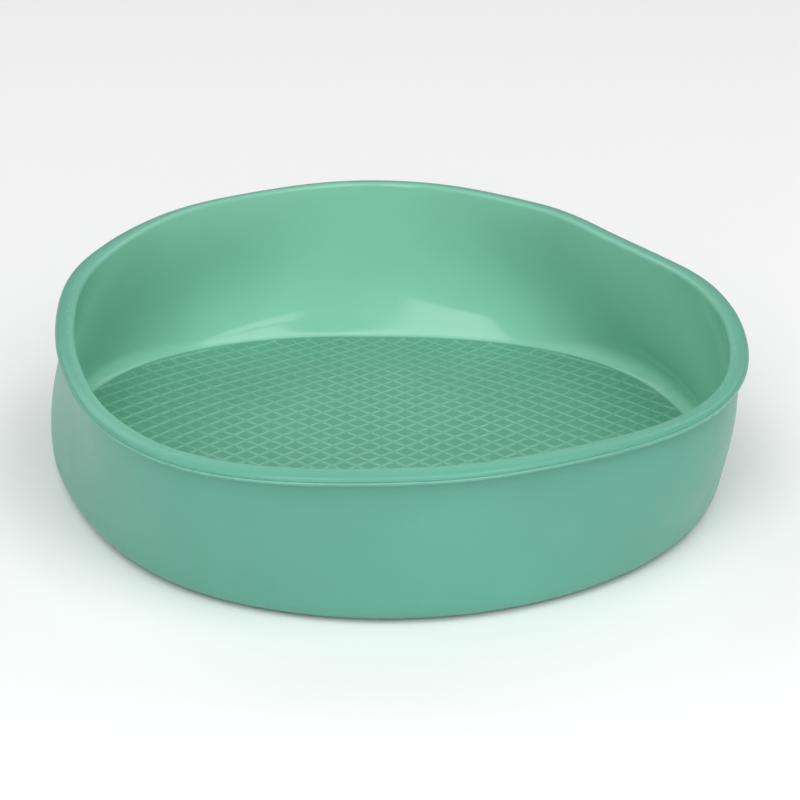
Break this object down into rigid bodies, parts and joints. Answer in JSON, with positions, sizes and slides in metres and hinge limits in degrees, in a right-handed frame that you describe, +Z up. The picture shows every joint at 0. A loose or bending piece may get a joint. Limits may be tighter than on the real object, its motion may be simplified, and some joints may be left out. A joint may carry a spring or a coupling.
{
  "type": "flexible round pan",
  "caption": "Soft one-piece round pan with a thin slack wall, an outward rolled lip and a flat netted floor.",
  "frame": {"origin": "middle of the flat underside, on the surface that the pan stands on", "axes": "+Z up out of the pan's mouth, +Y towards the back of the pan, +X towards its right"},
  "size_m": [0.2489, 0.2611, 0.0642],
  "materials": {
    "silicone": "satin outside, glossier inside"
  },
  "bodies": {
    "root": {"pan": "silicone"}
  },
  "joints": []
}
